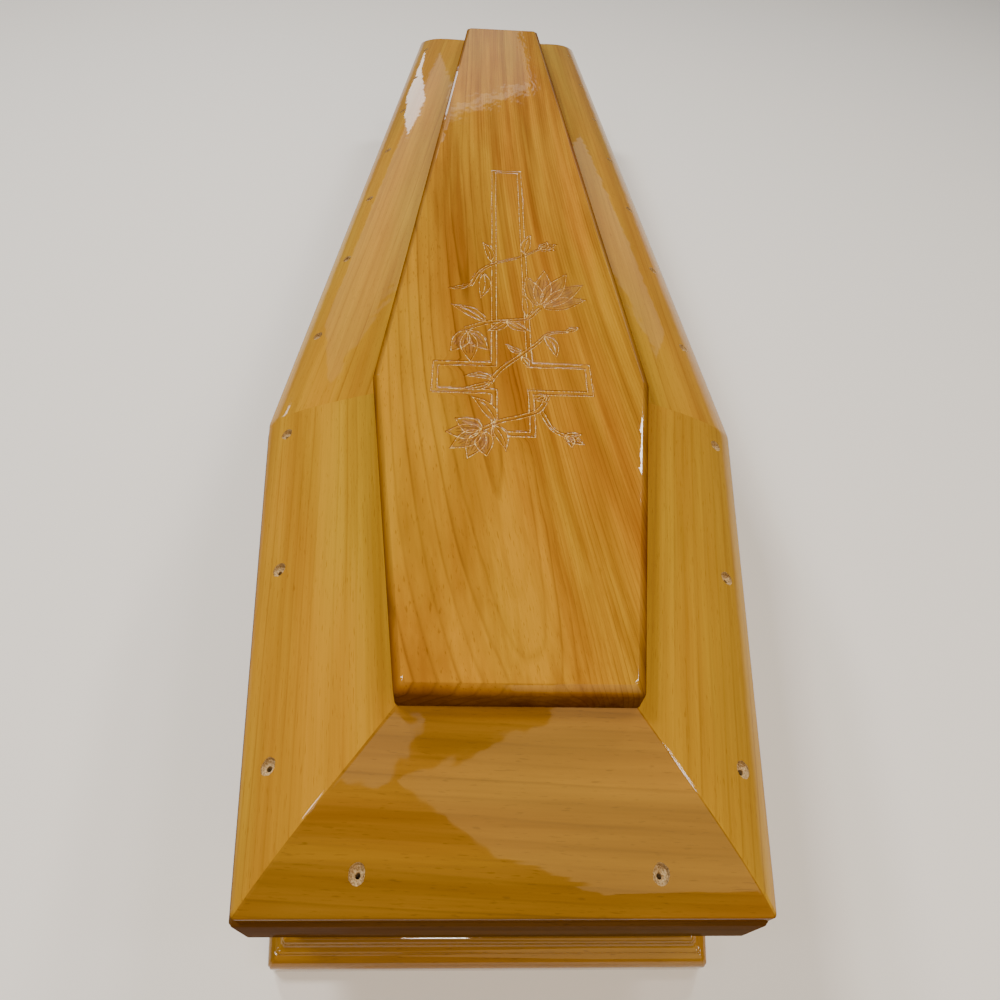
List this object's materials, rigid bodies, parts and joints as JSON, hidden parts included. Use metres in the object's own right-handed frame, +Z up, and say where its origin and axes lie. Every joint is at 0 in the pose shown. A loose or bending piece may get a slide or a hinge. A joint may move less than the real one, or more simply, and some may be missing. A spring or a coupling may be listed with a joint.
{
  "type": "coffin",
  "caption": "Six-sided wooden coffin with a lift-off lid: mitred walls and mouldings, sloped lid boards and a raised top board carved with a Latin cross and a flowering vine.",
  "frame": {"origin": "on the ground under the middle of the coffin's length and width", "axes": "+Z up; +Y along the coffin from its head to its foot; +X to the right seen from the head end, where the camera stands"},
  "size_m": [0.6742, 1.974, 0.405],
  "materials": {
    "lid_wood": "honey-gold stained softwood under high-gloss clear lacquer",
    "moulding_wood": "golden-brown stained moulding under high-gloss clear lacquer",
    "body_wood": "honey-brown stained boards, lacquered outside, plain inside"
  },
  "bodies": {
    "root": {"floor_board": "body_wood", "wall_shoulder_right": "body_wood", "band_shoulder_right": "moulding_wood", "plinth_shoulder_right": "moulding_wood", "lid_slope_shoulder_right": "lid_wood", "wall_leg_right": "body_wood", "band_leg_right": "moulding_wood", "plinth_leg_right": "moulding_wood", "lid_slope_leg_right": "lid_wood", "wall_foot": "body_wood", "band_foot": "moulding_wood", "plinth_foot": "moulding_wood", "lid_slope_foot": "lid_wood", "wall_leg_left": "body_wood", "band_leg_left": "moulding_wood", "plinth_leg_left": "moulding_wood", "lid_slope_leg_left": "lid_wood", "wall_shoulder_left": "body_wood", "band_shoulder_left": "moulding_wood", "plinth_shoulder_left": "moulding_wood", "lid_slope_shoulder_left": "lid_wood", "wall_head": "body_wood", "band_head": "moulding_wood", "plinth_head": "moulding_wood", "lid_slope_head": "lid_wood", "lid_top_panel": "lid_wood"}
  },
  "joints": []
}
